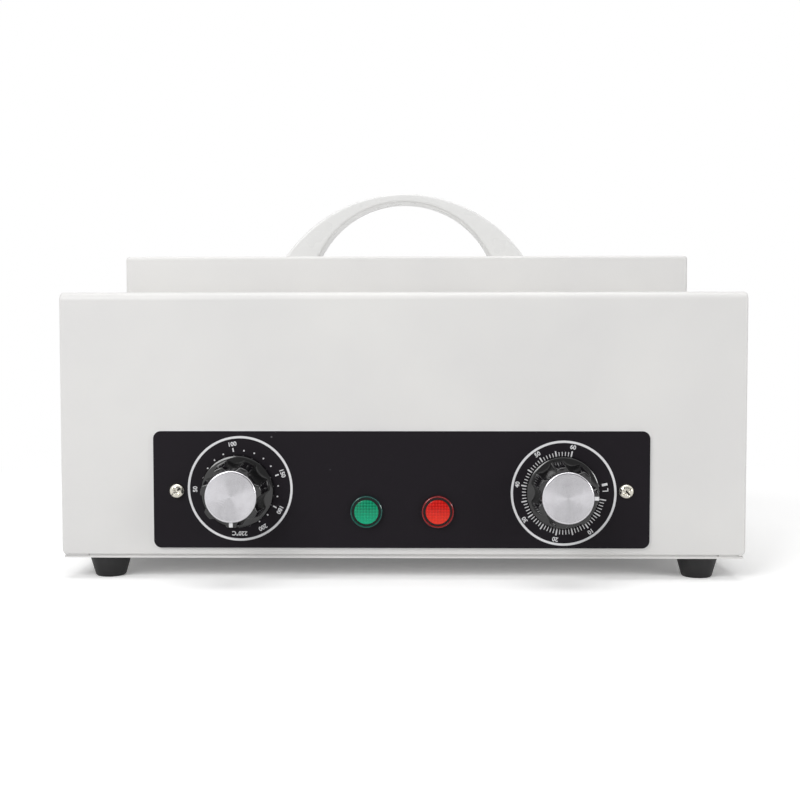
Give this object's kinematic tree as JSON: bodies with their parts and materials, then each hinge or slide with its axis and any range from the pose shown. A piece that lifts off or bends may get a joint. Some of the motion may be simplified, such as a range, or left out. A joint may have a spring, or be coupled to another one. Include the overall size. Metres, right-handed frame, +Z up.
{
  "type": "dry heat sterilizer",
  "caption": "Bench-top dry heat sterilizer: sheet steel cabinet with a top-opening heated steel tank, hinged lid with arched handle, and a panel with thermostat and timer knobs.",
  "frame": {"origin": "on the bench, under the middle of the outline", "axes": "+X to the right seen from the front, along the longest side; +Y to the back; +Z up"},
  "size_m": [0.36, 0.235, 0.213],
  "materials": {
    "white_enamel": "satin white powder coat",
    "zinc_sheet": "bright zinc plate",
    "stainless": "drawn stainless sheet",
    "white_plastic": "glossy white moulding",
    "black_plastic": "glossy black moulding",
    "black_rubber": "satin black rubber",
    "black_panel": "satin black print on aluminium",
    "white_print": "flat white print",
    "turned_aluminium": "turned rings",
    "plated_screw": "bright plated",
    "green_lens": "clear green moulding",
    "red_lens": "clear red moulding",
    "silicone": "red silicone",
    "wool": "mineral wool",
    "ceramic": "unglazed ceramic",
    "control_case": "phenolic moulding",
    "copper": "bare copper",
    "brass_tab": "plain brass",
    "live_sleeve": "brown insulation",
    "neutral_sleeve": "blue insulation",
    "earth_sleeve": "green and yellow insulation",
    "glass_sleeve": "white glass fibre sleeve"
  },
  "bodies": {
    "cabinet": {"outer_housing": "white_enamel", "base_plate": "zinc_sheet", "front_left_foot": "black_rubber", "front_right_foot": "black_rubber", "rear_left_foot": "black_rubber", "rear_right_foot": "black_rubber", "foot_screws": "plated_screw", "base_screws": "plated_screw", "inner_tank": "stainless", "tank_rivets": "turned_aluminium", "instrument_tray": "stainless", "heating_element": "stainless", "heater_clamp": "zinc_sheet", "heater_nuts": "plated_screw", "tank_wool": "wool", "wool_pan": "zinc_sheet", "control_panel": "black_panel", "panel_screws": "plated_screw", "temperature_scale": "white_print", "timer_scale": "white_print", "green_lamp_lens": "green_lens", "red_lamp_lens": "red_lens", "lamp_holders": "control_case", "thermostat": "ceramic", "timer": "control_case", "timer_bell": "plated_screw", "control_screws": "plated_screw", "sensor_bulb": "copper", "power_inlet": "black_plastic", "inlet_blades": "brass_tab", "inlet_screws": "plated_screw", "terminal_block": "ceramic", "earth_stud": "plated_screw", "thermal_cutout": "ceramic", "live_wires": "live_sleeve", "neutral_wires": "neutral_sleeve", "earth_wire": "earth_sleeve", "sleeved_wires": "glass_sleeve", "left_hinge_base_leaf": "stainless", "right_hinge_base_leaf": "stainless", "hinge_pins": "plated_screw", "hinge_base_screws": "plated_screw"},
    "lid": {"left_hinge_lid_leaf": "stainless", "right_hinge_lid_leaf": "stainless", "hinge_lid_screws": "plated_screw", "lid_shell": "white_enamel", "lid_liner": "stainless", "lid_wool": "wool", "lid_gasket": "silicone", "lid_handle": "white_plastic", "handle_screws": "plated_screw"},
    "temperature_dial": {"temperature_knob": "black_plastic", "temperature_pointer": "white_print", "temperature_knob_cap": "turned_aluminium", "thermostat_shaft": "turned_aluminium"},
    "timer_dial": {"timer_knob": "black_plastic", "timer_pointer": "white_print", "timer_knob_cap": "turned_aluminium", "timer_shaft": "turned_aluminium"}
  },
  "joints": [
    {"name": "lid_hinge", "type": "hinge", "parent": "cabinet", "child": "lid", "pos_m": [0.0015, 0.091, 0.154], "axis": [-1, 0, 0], "range_deg": [0, 100]},
    {"name": "temperature_knob_turn", "type": "hinge", "parent": "cabinet", "child": "temperature_dial", "pos_m": [-0.0862, -0.0905, 0.0468], "axis": [0, 1, 0], "range_deg": [-270, 0]},
    {"name": "timer_knob_turn", "type": "hinge", "parent": "cabinet", "child": "timer_dial", "pos_m": [0.0838, -0.0905, 0.0463], "axis": [0, 1, 0], "range_deg": [-12.6, 280.7]}
  ]
}
